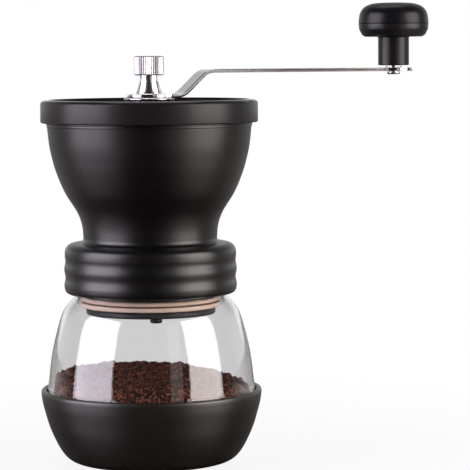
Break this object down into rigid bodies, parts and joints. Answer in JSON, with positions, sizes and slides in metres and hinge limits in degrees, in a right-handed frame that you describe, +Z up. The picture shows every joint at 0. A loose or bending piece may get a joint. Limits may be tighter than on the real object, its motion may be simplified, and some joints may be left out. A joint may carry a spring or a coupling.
{
  "type": "hand crank coffee grinder",
  "caption": "Hand coffee mill: glass jar in a rubber boot, black moulded hopper with a conical burr mill, lid, and a bent steel crank with a turning knob.",
  "frame": {"origin": "middle of the boot's flat underside, on the spindle's axis", "axes": "+Z up along the spindle, +X along the crank at rest, +Y across it"},
  "size_m": [0.1751, 0.0952, 0.1976],
  "materials": {
    "boot_rubber": "soft matte grey-black",
    "clear_glass": "clear, polished",
    "coffee": null,
    "black_plastic": "satin black with a fine spark grain",
    "lid_plastic": "smooth satin black",
    "silicone": "translucent grey silicone",
    "tan_silicone": "tan silicone",
    "ceramic": "ground ceramic",
    "bronze": "sintered bronze",
    "brass": "turned brass",
    "steel": "zinc-plated or stainless steel",
    "polished_steel": "polished",
    "strip_steel": "satin stainless strip",
    "knob_plastic": "matte grey-black",
    "dome_plastic": "satin-gloss black"
  },
  "bodies": {
    "jar": {"glass_jar": "clear_glass", "base_boot": "boot_rubber", "ground_coffee": "coffee"},
    "mill": {"hopper_body": "black_plastic", "rim_seal": "silicone", "skirt_seal": "tan_silicone", "burr_retainer": "black_plastic", "retainer_screw_1": "steel", "retainer_screw_2": "steel", "retainer_screw_3": "steel", "outer_burr": "ceramic", "lower_bush": "bronze", "upper_bush": "bronze"},
    "drive": {"drive_washer": "steel", "lock_plate": "steel"},
    "adjuster": {"adjusting_nut": "brass"},
    "spindle": {"spindle": "steel", "inner_burr": "ceramic", "burr_carrier": "black_plastic", "burr_washer": "steel", "burr_nut": "steel", "spring_washer": "steel", "burr_spring": "steel", "crank_seat": "polished_steel"},
    "cap": {"cap_nut": "polished_steel"},
    "crank": {"crank_arm": "strip_steel", "knob_pin": "steel", "knob_washer": "steel"},
    "knob": {"knob_base": "knob_plastic", "knob_dome": "dome_plastic"},
    "lid": {"lid": "lid_plastic"}
  },
  "joints": [
    {"name": "mill_lift", "type": "slide", "parent": "jar", "child": "mill", "axis": [0, 0, 1], "range_m": [0, 0.04]},
    {"name": "crank_turn", "type": "hinge", "parent": "mill", "child": "drive", "pos_m": [0, 0, 0.11], "axis": [0, 0, 1], "continuous": true},
    {"name": "adjuster_turn", "type": "hinge", "parent": "drive", "child": "adjuster", "pos_m": [0, 0, 0.116], "axis": [0, 0, 1], "range_deg": [0, 432]},
    {"name": "grind_gap", "type": "slide", "parent": "drive", "child": "spindle", "axis": [0, 0, 1], "range_m": [-0.0012, 0], "deforming": ["burr_spring"]},
    {"name": "cap_lift", "type": "slide", "parent": "spindle", "child": "cap", "axis": [0, 0, 1], "range_m": [0, 0.06]},
    {"name": "crank_lift", "type": "slide", "parent": "spindle", "child": "crank", "axis": [0, 0, 1], "range_m": [0, 0.048]},
    {"name": "lid_lift", "type": "slide", "parent": "mill", "child": "lid", "axis": [0, 0, 1], "range_m": [0, 0.033]},
    {"name": "knob_spin", "type": "hinge", "parent": "crank", "child": "knob", "pos_m": [0.112, 0, 0.18], "axis": [0, 0, 1], "continuous": true}
  ],
  "couplings": [
    {"joint": "adjuster_turn", "follows": "grind_gap", "rad_per_m": -6283.2},
    {"joint": "crank_lift", "follows": "cap_lift", "ratio": 0.8},
    {"joint": "lid_lift", "follows": "cap_lift", "ratio": 0.55}
  ]
}
